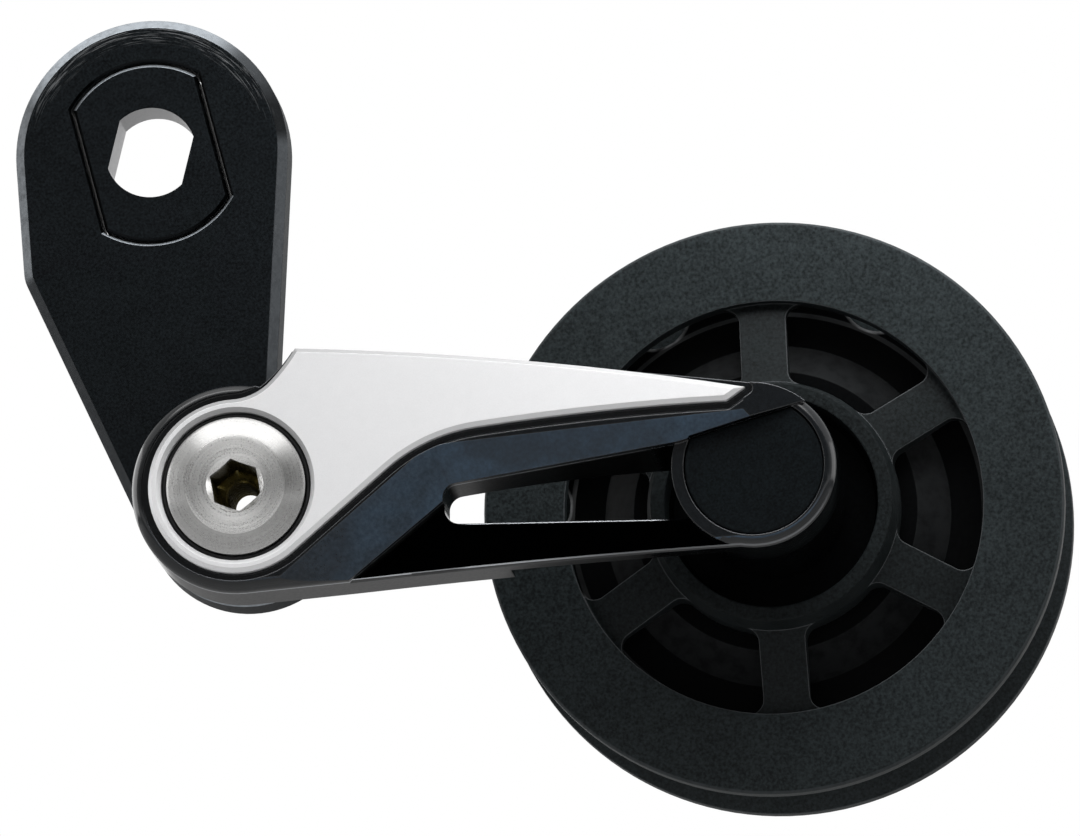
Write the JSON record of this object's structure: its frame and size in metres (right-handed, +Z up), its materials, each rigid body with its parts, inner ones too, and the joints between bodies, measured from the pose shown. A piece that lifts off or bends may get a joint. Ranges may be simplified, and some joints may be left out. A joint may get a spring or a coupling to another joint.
{
  "type": "bicycle chain tensioner",
  "caption": "Sprung bicycle chain tensioner: a hanger bracket for the rear axle, a pivoting arm with a bright cover, and a toothed guide pulley between spoked guard rings.",
  "frame": {"origin": "centre of the axle hole, on the bracket face that lies against the dropout", "axes": "+X towards the front of the bicycle along the arm, +Y inwards along the hub axle, +Z up"},
  "size_m": [0.1116, 0.0413, 0.0831],
  "materials": {
    "bracket_black": "matt black coating",
    "bolt_steel": "fine turned",
    "bright_steel": "plated",
    "spring_steel": "drawn wire",
    "washer_plastic": "self-lubricating",
    "seal_rubber": "smooth",
    "arm_gloss": "gloss black paint",
    "cover_silver": "satin, clear coat",
    "cap_black": "matt",
    "pulley_plastic": "satin moulded",
    "guard_plastic": "fine grained"
  },
  "bodies": {
    "bracket": {"hanger_bracket": "bracket_black", "axle_insert": "bracket_black", "pivot_bolt": "bolt_steel", "pivot_bush": "bright_steel", "pivot_washer": "washer_plastic", "pivot_seal": "seal_rubber", "stop_pin": "bright_steel", "torsion_spring": "spring_steel"},
    "arm": {"arm_body": "arm_gloss", "cover_plate": "cover_silver", "axle_cap": "cap_black", "axle_bolt": "bright_steel", "axle_sleeve": "bright_steel", "front_dust_cap": "cap_black", "rear_dust_cap": "cap_black", "axle_washer": "bright_steel"},
    "wheel": {"pulley": "pulley_plastic", "hub_liner": "washer_plastic", "front_guard": "guard_plastic", "rear_guard": "guard_plastic", "guard_screw_1": "bright_steel", "guard_screw_2": "bright_steel", "guard_screw_3": "bright_steel"}
  },
  "joints": [
    {"name": "arm_pivot", "type": "hinge", "parent": "bracket", "child": "arm", "pos_m": [0.0104, 0, -0.0385], "axis": [0, 1, 0], "range_deg": [0, 70], "stiffness_Nm_per_rad": 0.35, "springref_deg": -57.3, "deforming": ["torsion_spring"]},
    {"name": "wheel_spin", "type": "hinge", "parent": "arm", "child": "wheel", "pos_m": [0.0656, 0.0169, -0.0371], "axis": [0, 1, 0], "continuous": true}
  ]
}
